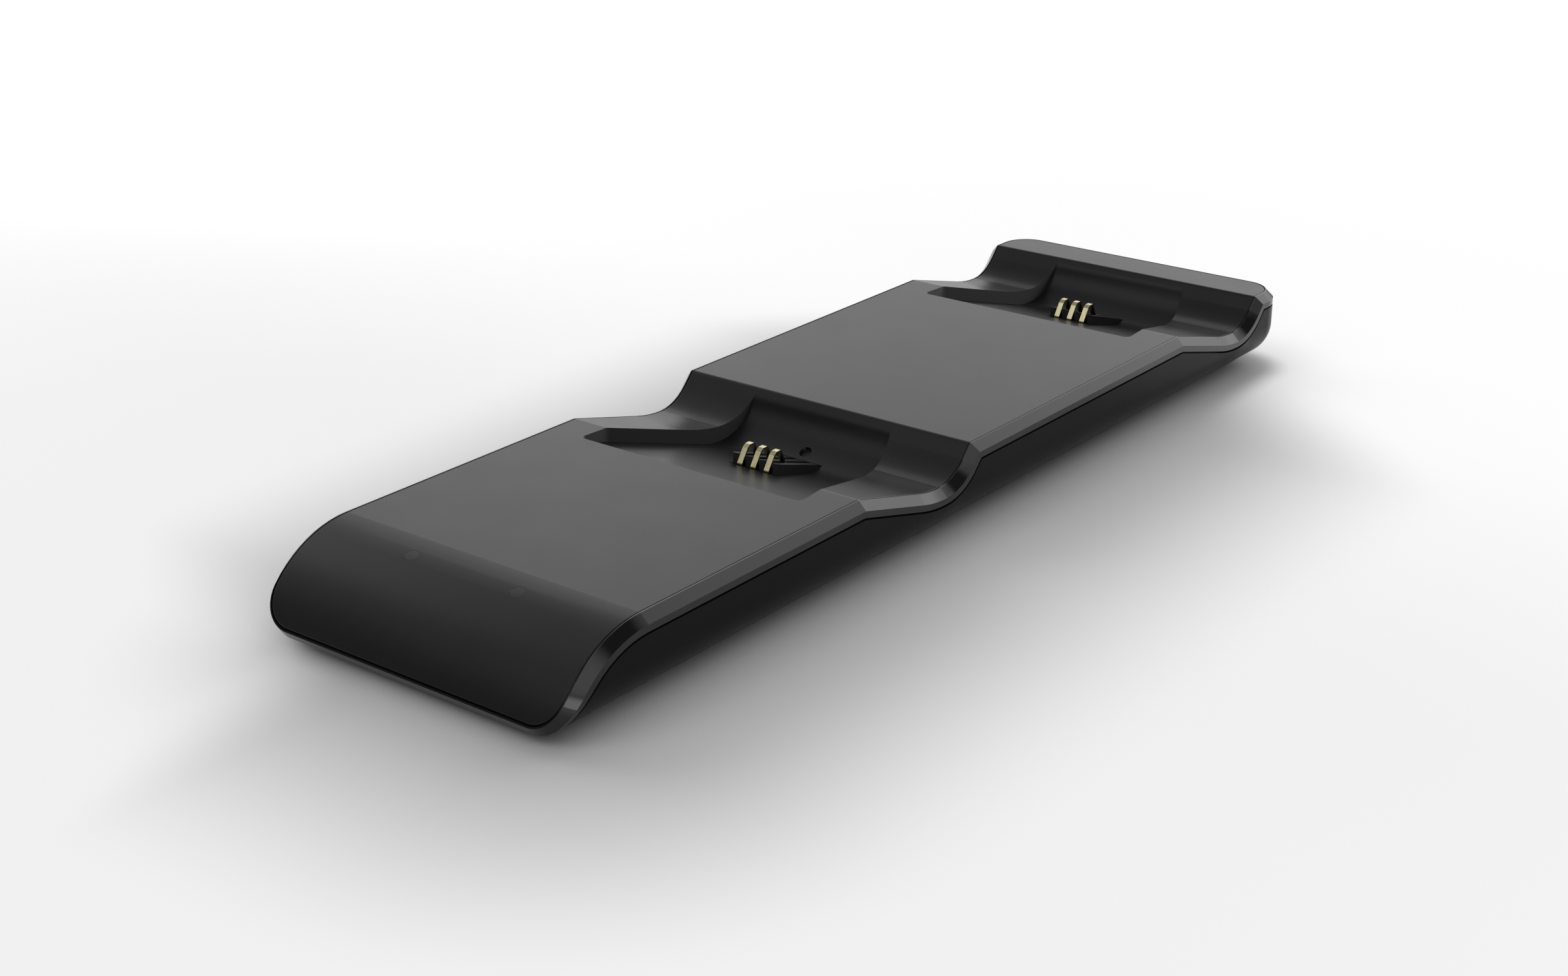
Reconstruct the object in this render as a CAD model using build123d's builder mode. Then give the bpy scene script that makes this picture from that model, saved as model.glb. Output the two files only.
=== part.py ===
from build123d import *
from math import acos, atan2, cos, degrees, hypot, radians, sin, sqrt, tan
import os

# Two-bay charging dock for game controllers.
# X runs across the dock, Y from the nose (-Y) to the rear lip (+Y), and Z up from the surface it stands on.
# The origin is under the middle of the dock. Sizes are in millimetres.

os.makedirs("parts", exist_ok=True)

# Outer form
deck_width = 87.0           # matte deck between its gloss borders
rim_chamfer = 2.1           # gloss chamfer all round the deck
body_depth = 19.4           # deck plane to underside
foot_stand = 2.5            # underside above the table
corner_radius = 10.0        # rear corners in plan
bottom_radius = 9.8         # rounding between the walls and the underside
nose_radius = 28.5
nose_flat = 74.0            # front platform, from the end of the nose curve to the front dip
bay_pitch = 144.2
lip_length = 14.6

# Dip that holds the back of a controller, the same in both bays
dip_length = 44.6
dip_depth = 7.4
fall_radius = 33.5
rise_radius = 13.0
rise_angle = 47.0
crease_radius = 2.5         # soft edge where the platform turns down
rise_edge = 1.4             # rounding at the top of the rise

# Battery well in each dip
well_front = 8.7            # ahead of the crease
well_half_front = 33.4
well_half_crease = 32.7
well_taper = 14.9           # degrees, side walls to the dock's length
well_drop = 3.7             # floor below the dip's fall
well_radius = 12.35         # floor's rounding up into the rise
well_meet = 1.9             # depth at which the well's back would cross the rise
well_runout = 5.0           # rounding of that crossing
well_feather = 0.02         # where the rounding ends, above the rise
well_corner = 1.6
well_bend = 8.0
well_shell = 1.5

# Skins and seams
cover_thickness = 2.0
cover_edge = 0.25           # rounding of the deck's border at the seam
rim_depth = 3.7             # gloss band, deck to its lower edge
rim_land = 0.25             # flat top of the rim inside the chamfer
seam_gap = 0.2              # line between deck and rim
seat_gap = 0.15
shelf_width = 3.0           # ledge of the rim under the edge of the deck
groove = 0.5                # parting line between rim and housing
wall = 2.0
skirt_thickness = 1.2
skirt_reach = 3.0

# Spring contacts, measured from the crease and down from the deck plane
contact_pitch = 4.1
contact_width = 1.5
contact_thickness = 0.35
contact_bend = 0.3          # inner radius of its bends
contact_travel = 1.0
contact_rest = 0.2          # left under a contact that is pressed home
contact_front = 15.9
contact_run = 8.1           # lower leg
contact_low = 12.0
contact_foot = 7.6          # depth at which the front leg starts to lean
contact_lean = 2.3
contact_rise = 3.4
contact_facet = 0.9         # short facet before the crown
contact_facet_rise = 0.65
contact_crown = 1.6
contact_back_lean = 2.9
contact_back_drop = 6.1

# Comb round the contacts, measured the same way
rib_thickness = 2.0
rib_front = 16.4
rib_back = 33.2
rib_top = 5.3
rib_fall = 17.8             # degrees
rib_round = 1.6
rib_edge = 0.25
comb_gap = 0.2
comb_open_front = 15.35
comb_open_back = 33.9
comb_flange = 2.3
comb_base = 0.8

# Round recess in the back wall of the front well
pin_recess_turn = 28.0      # degrees round the well's arc from its lowest point
pin_recess_diameter = 3.2
pin_recess_depth = 0.85

# Circuit boards
board_thickness = 1.2
board_corner = 1.5
peg_diameter = 1.9
peg_height = 0.6            # above the board
peg_clear = 0.1
post_diameter = 5.0
contact_board_width = 28.0
contact_board_length = 30.0
contact_board_peg_inset = 3.0
main_board_width = 58.0
main_board_length = 54.0
main_board_stand = 3.4
main_board_screw_inset = 4.0
indicator_board_length = 11.0
indicator_board_depth = 8.3     # deck plane to the board's upper face
indicator_board_peg_inset = 3.0
indicator_peg_gap = 4.4     # light guide to the peg beside it, between their centres
inlet_board_width = 16.0
inlet_board_length = 12.0
inlet_board_peg_inset = 2.4
inlet_board_gap = 0.6       # to the inside of the rear wall

# Parts of the main board
chip_size = 8.0
chip_height = 1.0
small_part_length = 3.0
small_part_width = 2.0
small_part_height = 1.2
small_part_pitch = 5.0
coil_diameter = 8.0
coil_height = 4.5
capacitor_diameter = 6.3
capacitor_height = 7.7
socket_width = 11.0
socket_length = 4.6
socket_height = 5.2
socket_inset = 4.0          # middle of a socket to the board's edge

# Indicators in the nose
guide_spacing = 31.2
guide_back = 6.6            # ahead of the end of the nose curve
guide_diameter = 3.4
guide_clear = 0.05
guide_sink = 0.02           # its top under the deck
guide_flange = 5.4
guide_flange_depth = 3.9
guide_flange_thickness = 1.0
lamp_width = 3.2
lamp_length = 2.8
lamp_height = 1.9
lamp_dome = 0.5

# Power inlet
inlet_width = 8.94
inlet_height = 3.26
inlet_length = 7.3
inlet_wall = 0.3
inlet_back = 0.8
inlet_tongue_width = 6.6
inlet_tongue_height = 0.7
inlet_tongue_length = 5.6
inlet_depth = 9.3           # deck plane to the socket's middle
inlet_sink = 0.3            # its mouth inside the rear wall
inlet_clear = 0.35

# Screws
screw_front = 47.0          # front end of the dock to the first pair
screw_middle = 12.0         # behind the front dip
screw_rear = 13.0           # ahead of the rear end
screw_x = 33.0
screw_rear_x = 30.0
screw_diameter = 2.6
screw_head = 5.0
screw_head_height = 1.8
screw_length = 9.0
screw_clear = 0.15
screw_drive = 2.8
boss_diameter = 6.5
tower_diameter = 8.6
tower_height = 5.0
counterbore_depth = 3.2
board_screw_diameter = 2.0
board_screw_head = 4.0
board_screw_head_height = 1.4
board_screw_length = 4.0

# Feet
foot_side_inset = 16.1      # side of the dock to the middle of a foot
foot_length = 24.0
foot_width = 10.0
foot_front_inset = 27.0
foot_rear_inset = 38.0
foot_recess = 0.8
foot_gap = 0.2
foot_edge = 0.8

# Worked out from the sizes above
body_width = deck_width + 2 * rim_chamfer
deck_z = foot_stand + body_depth
nose_center_z = deck_z - nose_radius
nose_angle = acos((nose_radius - body_depth) / nose_radius) - rim_chamfer / nose_radius
nose_reach = nose_radius * sin(nose_angle)
length = nose_reach + nose_flat + bay_pitch + dip_length + lip_length
nose_y = nose_reach - length / 2
front_crease = nose_y + nose_flat
rear_crease = front_crease + bay_pitch
rear_y = length / 2
bays = {"front": front_crease, "rear": rear_crease}
seam_inset = rim_chamfer + rim_land
rise = radians(rise_angle)
low_y = dip_length - (dip_depth - rise_radius * (1 - cos(rise))) / tan(rise) - rise_radius * sin(rise)
fall = atan2(low_y, fall_radius - dip_depth) - acos(fall_radius / hypot(low_y, fall_radius - dip_depth))
inner_floor = foot_stand + wall

# The well's arc touches its sloping floor and crosses the rise at well_meet
well_back_y = dip_length - well_meet / tan(rise)
well_base_z = deck_z - well_drop + well_radius / cos(fall)
well_lift = well_base_z - deck_z + well_meet
well_middle = (well_back_y + tan(fall) * well_lift) * cos(fall) ** 2
well_reach = (well_back_y ** 2 + well_lift ** 2 - well_radius ** 2) * cos(fall) ** 2
well_center_y = well_middle - sqrt(well_middle ** 2 - well_reach)
well_center_z = well_base_z - tan(fall) * well_center_y

# A second arc rounds the crossing: its centre lies behind the rise, and it touches the first arc at well_turn
runout_y = dip_length + (well_runout - well_feather) * sin(rise) - well_center_y
runout_z = deck_z - (well_runout - well_feather) * cos(rise) - well_center_z
runout_along = runout_y * cos(rise) + runout_z * sin(rise)
runout_gap = (well_radius + well_runout) ** 2 - runout_y ** 2 - runout_z ** 2
runout_shift = sqrt(runout_along ** 2 + runout_gap) - runout_along
runout_center_y = well_center_y + runout_y + runout_shift * cos(rise)
runout_center_z = well_center_z + runout_z + runout_shift * sin(rise)
well_turn = atan2(runout_center_y - well_center_y, well_center_z - runout_center_z)

comb_half = 1.5 * contact_pitch + rib_thickness / 2
comb_top_z = well_center_z - well_radius - well_shell - seat_gap
slot_floor_z = deck_z - contact_low - contact_thickness / 2 - contact_travel - contact_rest
comb_z = slot_floor_z - comb_base
contact_board_z = comb_z - board_thickness
contact_board_y = (comb_open_front + comb_open_back) / 2
main_board_z = inner_floor + main_board_stand
main_board_y = (front_crease + dip_length + rear_crease) / 2
guide_y = nose_y - guide_back
indicator_peg_x = guide_spacing / 2 + indicator_peg_gap
indicator_board_width = 2 * (indicator_peg_x + indicator_board_peg_inset)
indicator_board_z = deck_z - indicator_board_depth - board_thickness
inlet_z = deck_z - inlet_depth
inlet_board_z = inlet_z - inlet_height / 2 - board_thickness
inlet_board_y = rear_y - wall - inlet_board_gap - inlet_board_length / 2
foot_x = body_width / 2 - foot_side_inset
foot_places = [
    (side * foot_x, y) for y in (foot_front_inset - rear_y, rear_y - foot_rear_inset) for side in (-1, 1)
]
screw_seat_z = foot_stand + counterbore_depth
screw_bore = screw_diameter + 2 * screw_clear
board_screw_bore = board_screw_diameter + 2 * screw_clear
screw_places = [
    (side * x, y)
    for x, y in (
        (screw_x, screw_front - rear_y),
        (screw_x, front_crease + dip_length + screw_middle),
        (screw_rear_x, rear_y - screw_rear),
    )
    for side in (-1, 1)
]


def deck_line(depth, under, rear):
    """Side view of the deck, moved into the body by depth, from the underside of the nose to the rear."""
    level = deck_z - depth
    radius = nose_radius - depth
    turn = acos((under - nose_center_z) / radius)
    CenterArc((nose_y, nose_center_z), radius, 90 + degrees(turn), -degrees(turn))
    start = (nose_y - radius * sin(turn), under)
    here = (nose_y, level)
    for crease in bays.values():
        here = dip_line(here, crease, depth, level)
    end = (rear, level)
    Line(here, end)
    return start, end


def dip_line(here, crease, depth, level):
    """One dip of the deck line, from the platform in front of it to the edge at the top of its rise."""
    left = crease_radius - depth
    if left > 0.01:
        center = (crease - crease_radius * tan(fall / 2), deck_z - crease_radius)
        Line(here, (center[0], level))
        CenterArc(center, left, 90, -degrees(fall))
        fall_start = (center[0] + left * sin(fall), center[1] + left * cos(fall))
    else:
        fall_start = (crease - depth * tan(fall / 2), level)
        Line(here, fall_start)
    low = crease + low_y
    fall_center = (low, deck_z - dip_depth + fall_radius)
    rise_center = (low, deck_z - dip_depth + rise_radius)
    fall_end = (low - (fall_radius + depth) * sin(fall), fall_center[1] - (fall_radius + depth) * cos(fall))
    rise_end = (low + (rise_radius + depth) * sin(rise), rise_center[1] - (rise_radius + depth) * cos(rise))
    top = (crease + dip_length + depth * tan(rise / 2), level)
    Line(fall_start, fall_end)
    CenterArc(fall_center, fall_radius + depth, 270 - degrees(fall), degrees(fall))
    CenterArc(rise_center, rise_radius + depth, 270, rise_angle)
    Line(rise_end, top)
    return top


def dock_block(inset, depth):
    """Outer form of the dock, inset from its walls and underside, with the deck lowered by depth."""
    with BuildPart() as block:
        with BuildSketch(Plane.YZ):
            with BuildLine():
                start, end = deck_line(depth, foot_stand + inset, rear_y - inset)
                Polyline(end, (end[0], start[1]), start)
            make_face()
        extrude(amount=body_width / 2 - inset, both=True)
        fillet(block.edges().filter_by(Axis.Z).group_by(Axis.Y)[-1], corner_radius - inset)
        under_edges = block.faces().sort_by(Axis.Z)[0].edges().sort_by(Axis.Y)[1:]
        fillet(under_edges, bottom_radius - inset)
    return block.part


def below_deck(depth):
    """Everything under the deck line at a depth, wider than the dock."""
    with BuildPart() as region:
        with BuildSketch(Plane.YZ):
            with BuildLine():
                start, end = deck_line(depth, nose_center_z, rear_y + wall)
                Polyline(end, (end[0], nose_center_z - wall), (start[0], nose_center_z - wall), start)
            make_face()
        extrude(amount=body_width, both=True)
    return region.part


def rim_of_deck(faces):
    """The edges that bound the deck as a whole."""
    deck = faces.filter_by(lambda f: f.normal_at().Z > 0.2)
    edges = [edge for face in deck for edge in face.edges()]
    return ShapeList(edge for edge in edges if edges.count(edge) == 1)


def well_block(crease, margin):
    """Space of a battery well, grown by margin on every side but the top."""
    top = deck_z + well_drop
    front = crease - well_front - margin
    center = (crease + well_center_y, well_center_z)
    radius = well_radius + margin
    floor_start = (front, center[1] - radius / cos(fall) + tan(fall) * (center[0] - front))
    floor_end = (center[0] - radius * sin(fall), center[1] - radius * cos(fall))
    runout_center = (crease + runout_center_y, runout_center_z)
    runout_radius = well_runout - margin
    runout_end = (
        runout_center[0] - runout_radius * sin(rise),
        runout_center[1] + runout_radius * cos(rise),
    )
    back_half = well_half_crease - dip_length * tan(radians(well_taper))
    with BuildPart() as well:
        with BuildSketch(Plane.YZ) as side_view:
            with BuildLine():
                Polyline(runout_end, (runout_end[0], top), (front, top), floor_start, floor_end)
                CenterArc(center, radius, 270 - degrees(fall), degrees(fall + well_turn))
                CenterArc(runout_center, runout_radius, 90 + degrees(well_turn), rise_angle - degrees(well_turn))
            make_face()
        extrude(amount=well_half_front + margin, both=True)
        with BuildSketch(Plane.XY) as plan:
            Polygon(
                (-back_half, crease + dip_length),
                (-well_half_crease, crease),
                (-well_half_front, crease - well_front),
                (well_half_front, crease - well_front),
                (well_half_crease, crease),
                (back_half, crease + dip_length),
                align=None,
            )
            fillet(plan.vertices().group_by(Axis.Y)[0], well_corner)
            fillet(plan.vertices().filter_by(lambda v: abs(v.Y - crease) < 0.01), well_bend)
            if margin:
                offset(amount=margin, kind=Kind.INTERSECTION)
        extrude(amount=top, mode=Mode.INTERSECT)
    return well.part


def uprights(places, bottom, top, diameter, mode=Mode.ADD):
    """Round pins or bores of the part being made, between two levels."""
    with Locations(*[(x, y, bottom) for x, y in places]):
        Cylinder(diameter / 2, top - bottom, align=(Align.CENTER, Align.CENTER, Align.MIN), mode=mode)


def board_places(width, depth, center_y, inset_x, inset_y):
    """Fixing places near the four corners of a board."""
    return [
        (side * (width / 2 - inset_x), center_y + end * (depth / 2 - inset_y))
        for side in (-1, 1)
        for end in (-1, 1)
    ]


def board_plate(width, depth, center_y, bottom, places, hole):
    """A circuit board with its fixing holes."""
    with BuildPart() as plate:
        with BuildSketch(Plane.XY.offset(bottom)):
            with Locations((0, center_y)):
                RectangleRounded(width, depth, board_corner)
            with Locations(*places):
                Circle(hole / 2, mode=Mode.SUBTRACT)
        extrude(amount=board_thickness)
    return plate.part


contact_board_places = {
    bay: board_places(
        contact_board_width, contact_board_length, crease + contact_board_y,
        contact_board_peg_inset, contact_board_peg_inset,
    )
    for bay, crease in bays.items()
}
main_board_places = board_places(
    main_board_width, main_board_length, main_board_y, main_board_screw_inset, main_board_screw_inset
)
inlet_board_places = board_places(
    inlet_board_width, inlet_board_length, inlet_board_y, inlet_board_peg_inset, inlet_board_peg_inset
)
indicator_places = [(-indicator_peg_x, guide_y), (indicator_peg_x, guide_y)]
guide_places = {"left": (-guide_spacing / 2, guide_y), "right": (guide_spacing / 2, guide_y)}


# Matte cover with the dips, the wells and the bosses for the screws
under_skin = below_deck(cover_thickness / 2)
with BuildPart() as bosses:
    uprights(screw_places, inner_floor + tower_height + seat_gap, deck_z, boss_diameter)
    add(under_skin, mode=Mode.INTERSECT)
with BuildPart() as top_cover:
    add(dock_block(seam_inset + seam_gap, 0))
    rise_edges = (
        top_cover.edges()
        .filter_by(Axis.X)
        .filter_by(lambda e: any(abs(e.center().Y - crease - dip_length) < 0.01 for crease in bays.values()))
        .filter_by(lambda e: abs(e.center().Z - deck_z) < 0.01)
    )
    fillet(rise_edges, rise_edge)
    fillet(rim_of_deck(top_cover.faces()), cover_edge)
    add(below_deck(cover_thickness), mode=Mode.SUBTRACT)
    for crease in bays.values():
        add(well_block(crease, well_shell) & under_skin)
    add(bosses.part)
    for crease in bays.values():
        add(well_block(crease, 0), mode=Mode.SUBTRACT)
        with Locations((0, crease + (comb_open_front + comb_open_back) / 2, deck_z)):
            Box(
                2 * (comb_half + comb_gap), comb_open_back - comb_open_front, deck_z - comb_z,
                align=(Align.CENTER, Align.CENTER, Align.MAX), mode=Mode.SUBTRACT,
            )
    uprights(screw_places, inner_floor, screw_seat_z + screw_length + screw_clear, screw_bore, Mode.SUBTRACT)
    uprights(guide_places.values(), inner_floor, deck_z, guide_diameter + 2 * guide_clear, Mode.SUBTRACT)
    recess_axis = Plane.XY.move(
        Location((0, front_crease + well_center_y, well_center_z), (pin_recess_turn, 0, 0))
    )
    with BuildSketch(recess_axis.offset(-well_radius - pin_recess_depth)):
        Circle(pin_recess_diameter / 2)
    extrude(amount=2 * pin_recess_depth, mode=Mode.SUBTRACT)
top_cover.part.label = "top_cover"
export_step(top_cover.part, "parts/top_cover.step")

# Gloss rim: the chamfered band round the deck, a ledge under the cover and a skirt inside the housing
cover_seat = dock_block(seam_inset, 0) - below_deck(cover_thickness + seat_gap)
skirt_ring = dock_block(wall + seat_gap, rim_depth) - dock_block(wall + seat_gap + skirt_thickness, 0)
skirt = skirt_ring - below_deck(rim_depth + skirt_reach)
with BuildPart() as rim_trim:
    add(dock_block(0, 0))
    chamfer(rim_of_deck(rim_trim.faces()), rim_chamfer)
    add(below_deck(rim_depth), mode=Mode.SUBTRACT)
    add(cover_seat, mode=Mode.SUBTRACT)
    add(dock_block(seam_inset + shelf_width, 0), mode=Mode.SUBTRACT)
    add(skirt)
rim_trim.part.label = "rim_trim"
export_step(rim_trim.part, "parts/rim_trim.step")

# Towers for the screws and posts for the boards, kept within the walls
with BuildPart() as fittings:
    uprights(screw_places, foot_stand, inner_floor + tower_height, tower_diameter)
    uprights(main_board_places, foot_stand, main_board_z, post_diameter)
    for places, level in (
        (contact_board_places["front"], contact_board_z),
        (contact_board_places["rear"], contact_board_z),
        (inlet_board_places, inlet_board_z),
        (indicator_places, indicator_board_z),
    ):
        uprights(places, foot_stand, level, post_diameter)
        uprights(places, foot_stand, level + board_thickness + peg_height, peg_diameter)
    add(dock_block(wall / 2, 0), mode=Mode.INTERSECT)

# Housing: a tray with its fittings, feet recesses and the inlet aperture
with BuildPart() as lower_housing:
    add(dock_block(0, rim_depth + groove))
    add(dock_block(wall, 0), mode=Mode.SUBTRACT)
    add(fittings.part)
    pilot_tip = main_board_z + board_thickness - board_screw_length - screw_clear
    uprights(main_board_places, pilot_tip, main_board_z, board_screw_bore, Mode.SUBTRACT)
    uprights(screw_places, 0, screw_seat_z, screw_head + 4 * screw_clear, Mode.SUBTRACT)
    uprights(screw_places, 0, deck_z, screw_bore, Mode.SUBTRACT)
    with BuildSketch(Plane.XY.offset(foot_stand)):
        with Locations(*foot_places):
            SlotOverall(foot_length + 2 * foot_gap, foot_width + 2 * foot_gap, rotation=90)
    extrude(amount=foot_recess, mode=Mode.SUBTRACT)
    with BuildSketch(Plane.XZ.offset(-rear_y)):
        with Locations((0, inlet_z)):
            SlotOverall(inlet_width + 2 * inlet_clear, inlet_height + 2 * inlet_clear)
    extrude(amount=2 * wall, mode=Mode.SUBTRACT)
lower_housing.part.label = "lower_housing"
export_step(lower_housing.part, "parts/lower_housing.step")

# Contact combs, their spring strips and boards
for bay, crease in bays.items():
    with BuildPart() as comb:
        with BuildSketch(Plane.YZ):
            with BuildLine():
                rib_end_depth = rib_top + (rib_back - rib_front) * tan(radians(rib_fall))
                Polyline(
                    (crease + rib_front, comb_z),
                    (crease + rib_front, deck_z - rib_top),
                    (crease + rib_back, deck_z - rib_end_depth),
                    (crease + rib_back, comb_z),
                    close=True,
                )
            rib_side = make_face()
            fillet(rib_side.vertices().sort_by(Axis.Z)[-1], rib_round)
        extrude(amount=comb_half, both=True)
        with BuildSketch(Plane.XY.offset(comb_z)) as ribs:
            for index in range(4):
                with Locations(((index - 1.5) * contact_pitch, crease + (rib_front + rib_back) / 2)):
                    Rectangle(rib_thickness, rib_back - rib_front)
            fillet(ribs.vertices().group_by(Axis.Y)[0], rib_thickness / 2 - rib_edge)
        extrude(amount=deck_z - comb_z, mode=Mode.INTERSECT)
        with BuildSketch(Plane.XY.offset(comb_z)):
            with Locations((0, crease + contact_board_y)):
                RectangleRounded(
                    2 * (comb_half + comb_flange), comb_open_back - comb_open_front + 2 * comb_flange, board_corner
                )
        extrude(amount=comb_top_z - comb_z)
        with BuildSketch(Plane.XY.offset(slot_floor_z)):
            for index in range(3):
                with Locations(((index - 1) * contact_pitch, crease + (comb_open_front + rib_back) / 2)):
                    Rectangle(contact_pitch - rib_thickness, rib_back - comb_open_front)
        extrude(amount=deck_z - slot_floor_z, mode=Mode.SUBTRACT)
    comb.part.label = "contact_comb_" + bay
    export_step(comb.part, "parts/contact_comb_" + bay + ".step")

    corner_y = crease + contact_front
    shoulder = (corner_y + contact_lean, deck_z - contact_foot + contact_rise)
    crown = (shoulder[0] + contact_facet, shoulder[1] + contact_facet_rise)
    crown_end = (crown[0] + contact_crown, crown[1])
    for index, side in enumerate(("left", "middle", "right")):
        with BuildPart() as contact:
            with BuildSketch(Plane.YZ.offset((index - 1) * contact_pitch)):
                with BuildLine():
                    FilletPolyline(
                        (corner_y + contact_run, deck_z - contact_low),
                        (corner_y, deck_z - contact_low),
                        (corner_y, deck_z - contact_foot),
                        shoulder,
                        crown,
                        crown_end,
                        (crown_end[0] + contact_back_lean, crown_end[1] - contact_back_drop),
                        radius=contact_bend + contact_thickness / 2,
                    )
                    offset(amount=contact_thickness / 2, side=Side.BOTH)
                make_face()
            extrude(amount=contact_width / 2, both=True)
        contact.part.label = "contact_" + bay + "_" + side
        export_step(contact.part, "parts/contact_" + bay + "_" + side + ".step")

    with BuildPart() as contact_board:
        add(board_plate(
            contact_board_width, contact_board_length, crease + contact_board_y, contact_board_z,
            contact_board_places[bay], peg_diameter + 2 * peg_clear,
        ))
    contact_board.part.label = "contact_board_" + bay
    export_step(contact_board.part, "parts/contact_board_" + bay + ".step")

# Main board under the middle platform, with its parts
board_top_z = main_board_z + board_thickness
with BuildPart() as main_board:
    add(board_plate(
        main_board_width, main_board_length, main_board_y, main_board_z,
        main_board_places, board_screw_bore,
    ))
    column = main_board_width / 4
    row = main_board_length / 4
    edge_row = main_board_length / 2 - socket_inset
    standing = (Align.CENTER, Align.CENTER, Align.MIN)
    board_middle = Plane.XY.offset(board_top_z).location * Location((0, main_board_y, 0))
    with Locations(board_middle):
        with Locations((0, 0), (-column, row)):
            Box(chip_size, chip_size, chip_height, align=standing)
        with Locations((column, 0), (column, small_part_pitch), (0, -row)):
            Box(small_part_length, small_part_width, small_part_height, align=standing)
        with Locations((0, -edge_row), (-column, edge_row), (column, edge_row)):
            Box(socket_width, socket_length, socket_height, align=standing)
        with Locations((-column, -row), (column, -row)):
            Cylinder(coil_diameter / 2, coil_height, align=standing)
        with Locations((-column, 0), (column, row)):
            Cylinder(capacitor_diameter / 2, capacitor_height, align=standing)
main_board.part.label = "main_board"
export_step(main_board.part, "parts/main_board.step")

with BuildPart() as indicator_board:
    add(board_plate(
        indicator_board_width, indicator_board_length, guide_y, indicator_board_z,
        indicator_places, peg_diameter + 2 * peg_clear,
    ))
indicator_board.part.label = "indicator_board"
export_step(indicator_board.part, "parts/indicator_board.step")

# Status lamps on the indicator board and the guides that carry their light to the nose
lamp_top_z = indicator_board_z + board_thickness + lamp_height
flange_top_z = deck_z - guide_flange_depth
for side, place in guide_places.items():
    with BuildPart() as lamp:
        with Locations((*place, indicator_board_z + board_thickness)):
            Box(lamp_width, lamp_length, lamp_height - lamp_dome, align=(Align.CENTER, Align.CENTER, Align.MIN))
        uprights([place], lamp_top_z - lamp_dome, lamp_top_z, lamp_length)
        fillet(lamp.faces().sort_by(Axis.Z)[-1].edges(), lamp_dome * 0.8)
    lamp.part.label = "status_lamp_" + side
    export_step(lamp.part, "parts/status_lamp_" + side + ".step")

guide_limit = below_deck(guide_sink)
for side, place in guide_places.items():
    with BuildPart() as guide:
        uprights([place], lamp_top_z + seat_gap, deck_z, guide_diameter)
        add(guide_limit, mode=Mode.INTERSECT)
        uprights([place], flange_top_z - guide_flange_thickness, flange_top_z, guide_flange)
    guide.part.label = "light_guide_" + side
    export_step(guide.part, "parts/light_guide_" + side + ".step")

# Power socket in the rear wall, on its own board
with BuildPart() as power_inlet:
    with BuildSketch(Plane.XZ.offset(inlet_sink - rear_y)):
        with Locations((0, inlet_z)):
            SlotOverall(inlet_width, inlet_height)
    extrude(amount=inlet_length)
    with BuildSketch(Plane.XZ.offset(inlet_sink - rear_y)):
        with Locations((0, inlet_z)):
            SlotOverall(inlet_width - 2 * inlet_wall, inlet_height - 2 * inlet_wall)
    extrude(amount=inlet_length - inlet_back, mode=Mode.SUBTRACT)
    with Locations((0, rear_y - inlet_sink - inlet_length, inlet_z)):
        Box(
            inlet_tongue_width, inlet_back + inlet_tongue_length, inlet_tongue_height,
            align=(Align.CENTER, Align.MIN, Align.CENTER),
        )
power_inlet.part.label = "power_inlet"
export_step(power_inlet.part, "parts/power_inlet.step")

with BuildPart() as inlet_board:
    add(board_plate(
        inlet_board_width, inlet_board_length, inlet_board_y, inlet_board_z,
        inlet_board_places, peg_diameter + 2 * peg_clear,
    ))
inlet_board.part.label = "inlet_board"
export_step(inlet_board.part, "parts/inlet_board.step")

# Screws
with BuildPart() as housing_screws:
    uprights(screw_places, screw_seat_z - screw_head_height, screw_seat_z, screw_head)
    uprights(screw_places, screw_seat_z, screw_seat_z + screw_length, screw_diameter)
    with BuildSketch(Plane.XY.offset(screw_seat_z - screw_head_height)):
        with Locations(*screw_places):
            Rectangle(screw_drive, screw_drive / 4)
            Rectangle(screw_drive / 4, screw_drive)
    extrude(amount=screw_head_height / 2, mode=Mode.SUBTRACT)
housing_screws.part.label = "housing_screws"
export_step(housing_screws.part, "parts/housing_screws.step")

with BuildPart() as board_screws:
    uprights(main_board_places, board_top_z, board_top_z + board_screw_head_height, board_screw_head)
    uprights(main_board_places, board_top_z - board_screw_length, board_top_z, board_screw_diameter)
board_screws.part.label = "board_screws"
export_step(board_screws.part, "parts/board_screws.step")

# Rubber feet
for x, y in foot_places:
    with BuildPart() as foot:
        with BuildSketch():
            with Locations((x, y)):
                SlotOverall(foot_length, foot_width, rotation=90)
        extrude(amount=foot_stand + foot_recess)
        fillet(foot.faces().sort_by(Axis.Z)[0].edges(), foot_edge)
    foot_name = "rubber_foot_" + ("front" if y < 0 else "rear") + ("_left" if x < 0 else "_right")
    foot.part.label = foot_name
    export_step(foot.part, "parts/" + foot_name + ".step")
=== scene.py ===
import math

import bpy
from mathutils import Matrix, Vector


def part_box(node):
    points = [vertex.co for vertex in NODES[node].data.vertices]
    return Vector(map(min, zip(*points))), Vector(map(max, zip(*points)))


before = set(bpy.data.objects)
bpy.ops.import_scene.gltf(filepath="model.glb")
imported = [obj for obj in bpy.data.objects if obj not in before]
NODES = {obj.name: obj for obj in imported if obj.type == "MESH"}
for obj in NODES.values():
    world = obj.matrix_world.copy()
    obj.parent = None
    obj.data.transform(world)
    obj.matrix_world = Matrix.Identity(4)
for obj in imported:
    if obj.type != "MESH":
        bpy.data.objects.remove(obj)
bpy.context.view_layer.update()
MM = 0.001
WHITE = (1, 1, 1, 1)


# Nodes
NOISE_LOW = 0.3                # nearly all of a noise lies between these two
NOISE_HIGH = 0.7


def new_material(name):
    material = bpy.data.materials.new(name)
    material.use_nodes = True
    tree = material.node_tree
    return material, tree, tree.nodes["Principled BSDF"]


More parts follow.
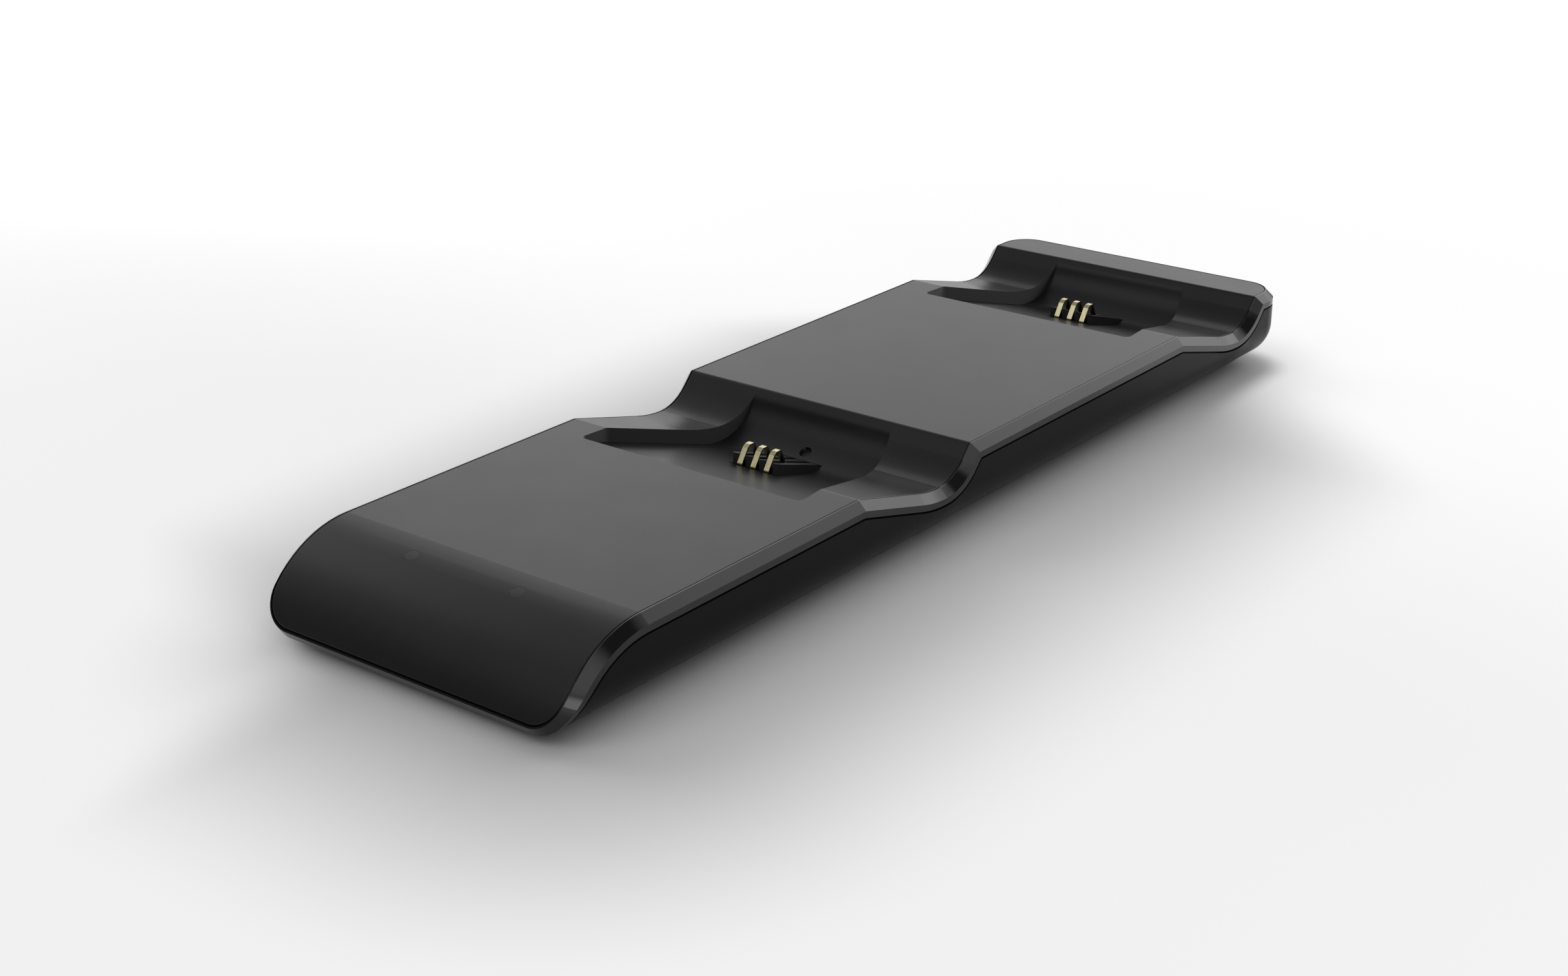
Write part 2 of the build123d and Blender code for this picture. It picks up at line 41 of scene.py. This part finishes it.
def coordinates(tree):
    """The object's own coordinates, in metres."""
    return tree.nodes.new("ShaderNodeTexCoord").outputs["Object"]


def coordinate(tree, axis):
    """One of the object's own coordinates: X, Y or Z."""
    split = tree.nodes.new("ShaderNodeSeparateXYZ")
    tree.links.new(coordinates(tree), split.inputs["Vector"])
    return split.outputs[axis]


def noise(tree, scale, detail=2.0, roughness=0.5, stretch=(1, 1, 1)):
    """Noise over the object's own coordinates, with scale in cells per metre."""
    mapping = tree.nodes.new("ShaderNodeMapping")
    mapping.inputs["Scale"].default_value = stretch
    tree.links.new(coordinates(tree), mapping.inputs["Vector"])
    texture = tree.nodes.new("ShaderNodeTexNoise")
    texture.inputs["Scale"].default_value = scale
    texture.inputs["Detail"].default_value = detail
    texture.inputs["Roughness"].default_value = roughness
    tree.links.new(mapping.outputs["Vector"], texture.inputs["Vector"])
    return texture.outputs["Fac"]


def remap(tree, value, low, high, start=NOISE_LOW, end=NOISE_HIGH, smooth=False):
    """Low up to start, high from end on, and a ramp between them."""
    node = tree.nodes.new("ShaderNodeMapRange")
    if smooth:
        node.interpolation_type = "SMOOTHSTEP"
    node.inputs["From Min"].default_value = start
    node.inputs["From Max"].default_value = end
    node.inputs["To Min"].default_value = low
    node.inputs["To Max"].default_value = high
    tree.links.new(value, node.inputs["Value"])
    return node.outputs["Result"]


def math_node(tree, operation, first, second):
    node = tree.nodes.new("ShaderNodeMath")
    node.operation = operation
    tree.links.new(first, node.inputs[0])
    if isinstance(second, (int, float)):
        node.inputs[1].default_value = second
    else:
        tree.links.new(second, node.inputs[1])
    return node.outputs["Value"]


def vector_node(tree, operation, source, operand=None, output="Vector"):
    node = tree.nodes.new("ShaderNodeVectorMath")
    node.operation = operation
    tree.links.new(source, node.inputs[0])
    if isinstance(operand, tuple):
        node.inputs[1].default_value = operand
    elif operand is not None:
        tree.links.new(operand, node.inputs[1])
    return node.outputs[output]


def length(tree, vector):
    return vector_node(tree, "LENGTH", vector, output="Value")


def tint(tree, value, dark, light):
    """Colour from dark to light over the range of a noise."""
    ramp = tree.nodes.new("ShaderNodeValToRGB")
    first, last = ramp.color_ramp.elements
    first.position, first.color = NOISE_LOW, (*dark, 1)
    last.position, last.color = NOISE_HIGH, (*light, 1)
    tree.links.new(value, ramp.inputs["Fac"])
    return ramp.outputs["Color"]


def blend_color(tree, factor, first, second):
    node = tree.nodes.new("ShaderNodeMix")
    node.data_type = "RGBA"
    tree.links.new(factor, node.inputs["Factor"])
    tree.links.new(first, node.inputs["A"])
    tree.links.new(second, node.inputs["B"])
    return node.outputs["Result"]


def bump(tree, height, strength, distance, shader, base=None):
    """Relief on the surface, or on the base normal where one is given."""
    node = tree.nodes.new("ShaderNodeBump")
    node.inputs["Strength"].default_value = strength
    node.inputs["Distance"].default_value = distance
    tree.links.new(height, node.inputs["Height"])
    if base is not None:
        tree.links.new(base, node.inputs["Normal"])
    tree.links.new(node.outputs["Normal"], shader.inputs["Normal"])


# Materials
DRAFT_REACH = 37 * MM          # from the dock's middle, past the side walls of the wells
DRAFT_FADE = 1 * MM
DRAFT_SLOPE = 1.25             # how far the shading of those walls leans up
SIDE_WALL_START = 0.45         # the X of a normal from which a wall starts to count as a side wall
SIDE_WALL_FULL = 0.8
MOTTLE = 35.0                  # slow changes over a moulding, in cells per metre
SHEEN_MOTTLE = MOTTLE * 2.3
JOINTS = 420                   # solder joints of a board, in cells per metre
JOINT_CORE = 0.10              # from a joint's middle, where it starts to fade and is gone, in cells
JOINT_EDGE = 0.16
PARTS_LEVEL = 1.25 * MM        # over a board's underside, just clear of its face
LEVEL_SOFTNESS = 0.05 * MM


def drafted_normal(tree):
    """The moulding draft of the walls inside the deck's hollows, which face across the dock."""
    across = (1, 0, 0)
    normal = tree.nodes.new("ShaderNodeNewGeometry").outputs["Normal"]
    sideways = length(tree, vector_node(tree, "MULTIPLY", normal, across))
    facing = remap(tree, sideways, 0.0, 1.0, SIDE_WALL_START, SIDE_WALL_FULL, smooth=True)
    off_middle = length(tree, vector_node(tree, "MULTIPLY", coordinates(tree), across))
    inside = remap(tree, off_middle, 1.0, 0.0, DRAFT_REACH, DRAFT_REACH + DRAFT_FADE)
    amount = math_node(tree, "MULTIPLY", math_node(tree, "MULTIPLY", facing, inside), DRAFT_SLOPE)
    lean = tree.nodes.new("ShaderNodeCombineXYZ")
    tree.links.new(amount, lean.inputs["Z"])
    return vector_node(tree, "NORMALIZE", vector_node(tree, "ADD", normal, lean.outputs["Vector"]))


def plastic(name, dark, light, rough, grain, grain_depth, gloss=0.5, drafted=False):
    """Moulded plastic: a fine grain in the surface, a slow change of colour, and a slightly uneven sheen."""
    material, tree, shader = new_material(name)
    color = tint(tree, noise(tree, MOTTLE, detail=3), dark, light)
    tree.links.new(color, shader.inputs["Base Color"])
    tree.links.new(remap(tree, noise(tree, SHEEN_MOTTLE, detail=4), *rough), shader.inputs["Roughness"])
    shader.inputs["Specular IOR Level"].default_value = gloss
    base = drafted_normal(tree) if drafted else None
    relief = noise(tree, grain, roughness=0.6)
    bump(tree, relief, strength=0.35, distance=grain_depth, shader=shader, base=base)
    return material


def metal(name, dark, light, rough, grain, grain_depth, stretch=(1, 1, 1)):
    """Metal with a fine drawn or rolled grain along one direction."""
    material, tree, shader = new_material(name)
    shader.inputs["Metallic"].default_value = 1.0
    wide_streaks = noise(tree, grain * 0.3, detail=3, roughness=0.6, stretch=stretch)
    tree.links.new(tint(tree, wide_streaks, dark, light), shader.inputs["Base Color"])
    streaks = noise(tree, grain, detail=3, roughness=0.6, stretch=stretch)
    tree.links.new(remap(tree, streaks, *rough), shader.inputs["Roughness"])
    relief = noise(tree, grain, stretch=stretch)
    bump(tree, relief, strength=0.3, distance=grain_depth, shader=shader)
    return material


def resin(name, dark, light, rough, transmission):
    """Clear resin."""
    material, tree, shader = new_material(name)
    tree.links.new(tint(tree, noise(tree, 500), dark, light), shader.inputs["Base Color"])
    tree.links.new(remap(tree, noise(tree, 900), *rough), shader.inputs["Roughness"])
    shader.inputs["Transmission Weight"].default_value = transmission
    shader.inputs["IOR"].default_value = 1.49
    return material


def lacquered_board(name, parts_level):
    """Green lacquered board with pale joints, and dark parts above the height of its face."""
    level = (parts_level - LEVEL_SOFTNESS, parts_level + LEVEL_SOFTNESS)
    material, tree, shader = new_material(name)
    green = tint(tree, noise(tree, 160), (0.008, 0.06, 0.025), (0.015, 0.11, 0.045))
    dots = tree.nodes.new("ShaderNodeTexVoronoi")
    dots.inputs["Scale"].default_value = JOINTS
    tree.links.new(coordinates(tree), dots.inputs["Vector"])
    joints = remap(tree, dots.outputs["Distance"], 1.0, 0.0, JOINT_CORE, JOINT_EDGE)
    solder = tint(tree, noise(tree, 900), (0.35, 0.35, 0.33), (0.6, 0.6, 0.57))
    board = blend_color(tree, joints, green, solder)
    parts = tint(tree, noise(tree, 260, detail=1), (0.012, 0.012, 0.014), (0.035, 0.035, 0.037))
    above = remap(tree, coordinate(tree, "Z"), 0.0, 1.0, *level)
    tree.links.new(blend_color(tree, above, board, parts), shader.inputs["Base Color"])
    tree.links.new(remap(tree, noise(tree, 300, detail=3), 0.28, 0.45), shader.inputs["Roughness"])
    bump(tree, noise(tree, 1500), strength=0.2, distance=0.04 * MM, shader=shader)
    return material


DECK = plastic(
    "deck_plastic", dark=(0.0095, 0.0095, 0.010), light=(0.0115, 0.0115, 0.012),
    rough=(0.293, 0.315), grain=5200, grain_depth=0.03 * MM, gloss=0.2, drafted=True,
)
RIM = plastic(
    "gloss_rim_plastic", dark=(0.004, 0.004, 0.0045), light=(0.006, 0.006, 0.0065),
    rough=(0.05, 0.08), grain=60, grain_depth=0.004 * MM,
)
HOUSING = plastic(
    "housing_plastic", dark=(0.006, 0.006, 0.0063), light=(0.008, 0.008, 0.0083),
    rough=(0.28, 0.32), grain=5200, grain_depth=0.02 * MM, gloss=0.085,
)
COMB = plastic(
    "comb_plastic", dark=(0.018, 0.018, 0.019), light=(0.026, 0.026, 0.027),
    rough=(0.34, 0.42), grain=4000, grain_depth=0.02 * MM, gloss=0.35,
)
GUIDE = plastic(
    "guide_resin", dark=(0.010, 0.010, 0.0105), light=(0.013, 0.013, 0.0135),
    rough=(0.24, 0.28), grain=2500, grain_depth=0.01 * MM, gloss=0.26,
)
RUBBER = plastic(
    "foot_rubber", dark=(0.016, 0.016, 0.016), light=(0.024, 0.024, 0.024),
    rough=(0.75, 0.88), grain=3600, grain_depth=0.05 * MM,
)
GOLD = metal(
    "contact_gold", dark=(0.40, 0.36, 0.20), light=(0.54, 0.49, 0.30),
    rough=(0.18, 0.28), grain=9000, grain_depth=0.006 * MM, stretch=(1, 0.15, 0.15),
)
SOCKET = metal(
    "socket_steel", dark=(0.50, 0.50, 0.51), light=(0.66, 0.66, 0.67),
    rough=(0.22, 0.34), grain=5000, grain_depth=0.005 * MM, stretch=(1, 0.1, 1),
)
SCREW = metal(
    "screw_steel", dark=(0.10, 0.10, 0.105), light=(0.17, 0.17, 0.175),
    rough=(0.30, 0.42), grain=6000, grain_depth=0.008 * MM,
)
LAMP = resin(
    "lamp_resin", dark=(0.75, 0.75, 0.70), light=(0.9, 0.9, 0.86),
    rough=(0.1, 0.2), transmission=0.6,
)

BOARDS = ("contact_board_front", "contact_board_rear", "main_board", "indicator_board", "inlet_board")
# Each node that isn't a board takes the first of these that its name starts with.
NAMED_MATERIALS = (
    ("top_cover", DECK),
    ("rim_trim", RIM),
    ("lower_housing", HOUSING),
    ("contact_comb", COMB),
    ("contact_", GOLD),
    ("status_lamp", LAMP),
    ("light_guide", GUIDE),
    ("power_inlet", SOCKET),
    ("housing_screws", SCREW),
    ("board_screws", SCREW),
    ("rubber_foot", RUBBER),
)
for name in NODES:
    if name in BOARDS:
        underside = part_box(name)[0][2]
        material = lacquered_board(name + "_lacquer", underside + PARTS_LEVEL)
    else:
        material = next(m for start, m in NAMED_MATERIALS if name.startswith(start))
    NODES[name].data.materials.clear()
    NODES[name].data.materials.append(material)


# Floor
FLOOR_HALF = 6                 # metres
DOCK_HALF_WIDTH = 45.6 * MM
DOCK_HALF_LENGTH = 151.8 * MM
DOCK_CORNER = 15.6 * MM
SHADOW_SHIFT = (5 * MM, 0, 0)  # the painted shadow lies a little to the dock's right

# The floor's glow has a near and a far part, each of which grows over a span of distances from the dock's
# outline, so that the floor by the dock stays darker: a painted shadow in the dock's outline, on top of the
# shadow its lights cast. The near part's level also grows along Y.
NEAR_SPAN = (6 * MM, 84 * MM)
NEAR_LEVELS = (0.37, 0.48)
LEVELS_SPAN = (-50 * MM, 150 * MM)
FAR_SPAN = (80 * MM, 480 * MM)
FAR_LEVEL = 0.12
TOP_LEVEL = 0.53               # the two together give no more than this

# The painted shadow is narrower behind the dock and to the left of its nose, by these widths and over these
# spans of Y and X. The painted shade along the line where the dock meets the floor stays dark there, up to
# the end of the edge span.
BEHIND_WIDTH = 60 * MM
BEHIND_SPAN = (72 * MM, 145 * MM)
AHEAD_WIDTH = 35 * MM
AHEAD_SPAN = (-160 * MM, -120 * MM)
LEFT_SPAN = (-35 * MM, -5 * MM)
EDGE_SPAN = (-9 * MM, 5 * MM)


def seen_directly(tree):
    """1 for camera, glossy and transmission rays, and 0 for the rest."""
    path = tree.nodes.new("ShaderNodeLightPath")
    either = math_node(tree, "MAXIMUM", path.outputs["Is Camera Ray"], path.outputs["Is Glossy Ray"])
    return math_node(tree, "MAXIMUM", either, path.outputs["Is Transmission Ray"])


def distance_from_dock(tree):
    """Distance over the floor from the dock's rounded outline, moved a little towards its painted shadow."""
    place = vector_node(tree, "SUBTRACT", coordinates(tree), SHADOW_SHIFT)
    place = vector_node(tree, "ABSOLUTE", vector_node(tree, "MULTIPLY", place, (1, 1, 0)))
    straight = (DOCK_HALF_WIDTH - DOCK_CORNER, DOCK_HALF_LENGTH - DOCK_CORNER, 0)
    outside = vector_node(tree, "MAXIMUM", vector_node(tree, "SUBTRACT", place, straight), (0, 0, 0))
    return math_node(tree, "SUBTRACT", length(tree, outside), DOCK_CORNER)


def painted_shadow_glow(tree):
    """The glow that brings the floor up to the pale background, and fades by the dock to paint part of its
    shadow.
    """
    clear = distance_from_dock(tree)
    along = coordinate(tree, "Y")
    behind = remap(tree, along, 0.0, BEHIND_WIDTH, *BEHIND_SPAN, smooth=True)
    ahead = remap(tree, along, AHEAD_WIDTH, 0.0, *AHEAD_SPAN, smooth=True)
    left = remap(tree, coordinate(tree, "X"), 1.0, 0.0, *LEFT_SPAN, smooth=True)
    narrower = math_node(tree, "ADD", behind, math_node(tree, "MULTIPLY", ahead, left))
    off_edge = remap(tree, clear, 0.0, 1.0, *EDGE_SPAN, smooth=True)
    from_shadow = math_node(tree, "ADD", clear, math_node(tree, "MULTIPLY", narrower, off_edge))
    near_share = remap(tree, from_shadow, 0.0, 1.0, *NEAR_SPAN, smooth=True)
    near_level = remap(tree, along, *NEAR_LEVELS, *LEVELS_SPAN, smooth=True)
    near = math_node(tree, "MULTIPLY", near_share, near_level)
    far = remap(tree, clear, 0.0, FAR_LEVEL, *FAR_SPAN, smooth=True)
    total = math_node(tree, "MINIMUM", math_node(tree, "ADD", near, far), TOP_LEVEL)
    return math_node(tree, "MULTIPLY", total, seen_directly(tree))


def floor_paint_and_painted_shadow():
    material, tree, shader = new_material("floor_paint_and_painted_shadow")
    color = tint(tree, noise(tree, 3), (0.61, 0.61, 0.61), (0.63, 0.63, 0.63))
    tree.links.new(color, shader.inputs["Base Color"])
    tree.links.new(remap(tree, noise(tree, 40), 0.75, 0.8), shader.inputs["Roughness"])
    shader.inputs["Specular IOR Level"].default_value = 0.0
    # A glow seen by the camera and in reflections, which lifts the floor to white and paints part of the
    # dock's shadow
    glow = tree.nodes.new("ShaderNodeEmission")
    glow.inputs["Color"].default_value = WHITE
    tree.links.new(painted_shadow_glow(tree), glow.inputs["Strength"])
    both = tree.nodes.new("ShaderNodeAddShader")
    tree.links.new(shader.outputs["BSDF"], both.inputs[0])
    tree.links.new(glow.outputs["Emission"], both.inputs[1])
    tree.links.new(both.outputs["Shader"], tree.nodes["Material Output"].inputs["Surface"])
    material.cycles.emission_sampling = "NONE"
    return material


corners = [(x * FLOOR_HALF, y * FLOOR_HALF, 0) for x, y in ((-1, -1), (1, -1), (1, 1), (-1, 1))]
mesh = bpy.data.meshes.new("floor")
mesh.from_pydata(corners, [], [(0, 1, 2, 3)])
mesh.materials.append(floor_paint_and_painted_shadow())
floor = bpy.data.objects.new("floor", mesh)
bpy.context.collection.objects.link(floor)

# Light: soft panels round the dock, over an even base light. Each row gives the azimuth from +Y towards +X
# and the elevation of the panel's middle, the angles from there at which it starts to fade and is gone, and
# its strength.
BASE_LIGHT = 0.10
PANELS = (
    (-90, 24, 8, 24, 2.46),
    (-60, 24, 8, 24, 0.78),
    (-30, 24, 8, 24, 1.06),
    (0, 24, 8, 24, 1.42),
    (30, 24, 8, 24, 0.89),
    (-48, 7, 5, 17, 0.65),
    (-24, 7, 5, 17, 0.57),
    (0, 45, 12, 30, 1.36),
    (-80, 45, 12, 30, 0.4),
    (-160, 45, 12, 30, 1.32),
    (120, 45, 12, 30, 1.12),
    (120, 7, 5, 17, 2.63),
)


def cosine(degrees):
    return math.cos(math.radians(degrees))


def panel_light(sky, direction, azimuth, elevation, inner, outer, strength):
    """A round soft panel, by the cosine of the angle from its middle."""
    around, up = math.radians(azimuth), math.radians(elevation)
    middle = (math.sin(around) * math.cos(up), math.cos(around) * math.cos(up), math.sin(up))
    near_middle = vector_node(sky, "DOT_PRODUCT", direction, middle, "Value")
    return remap(sky, near_middle, 0.0, strength, cosine(outer), cosine(inner), smooth=True)


world = bpy.data.worlds.new("studio")
bpy.context.scene.world = world
world.use_nodes = True
sky = world.node_tree
direction = sky.nodes.new("ShaderNodeTexCoord").outputs["Generated"]
total = None
for row in PANELS:
    panel = panel_light(sky, direction, *row)
    total = math_node(sky, "ADD", panel, BASE_LIGHT if total is None else total)
ambient = sky.nodes["Background"]
ambient.inputs["Color"].default_value = WHITE
sky.links.new(total, ambient.inputs["Strength"])

# The camera sees plain white past the floor's edge, and so does a ray through something clear.
white = sky.nodes.new("ShaderNodeBackground")
white.inputs["Color"].default_value = WHITE
white.inputs["Strength"].default_value = 1.0
path = sky.nodes.new("ShaderNodeLightPath")
clear_view = math_node(sky, "MAXIMUM", path.outputs["Is Camera Ray"], path.outputs["Is Transmission Ray"])
seen = sky.nodes.new("ShaderNodeMixShader")
sky.links.new(clear_view, seen.inputs["Fac"])
sky.links.new(ambient.outputs["Background"], seen.inputs[1])
sky.links.new(white.outputs["Background"], seen.inputs[2])
sky.links.new(seen.outputs["Shader"], sky.nodes["World Output"].inputs["Surface"])

# Camera, at the photograph's viewing angle. Its axes and place are in the dock's frame, in metres.
CAMERA_RIGHT = Vector((0.78671, 0.61728, -0.00721))
CAMERA_UP = Vector((-0.22775, 0.30108, 0.92600))
CAMERA_BACK = Vector((0.57377, -0.72686, 0.37744))
CAMERA_PLACE = Vector((0.32769, -0.43880, 0.22063))
camera = bpy.data.cameras.new("camera")
camera.lens = 53.28
camera.sensor_width = 36
camera.clip_start = 0.01
camera.clip_end = 50
viewer = bpy.data.objects.new("camera", camera)
bpy.context.collection.objects.link(viewer)
turn = Matrix((CAMERA_RIGHT, CAMERA_UP, CAMERA_BACK)).transposed().to_4x4()
viewer.matrix_world = Matrix.Translation(CAMERA_PLACE) @ turn
bpy.context.scene.camera = viewer

bpy.context.scene.view_settings.view_transform = "Standard"
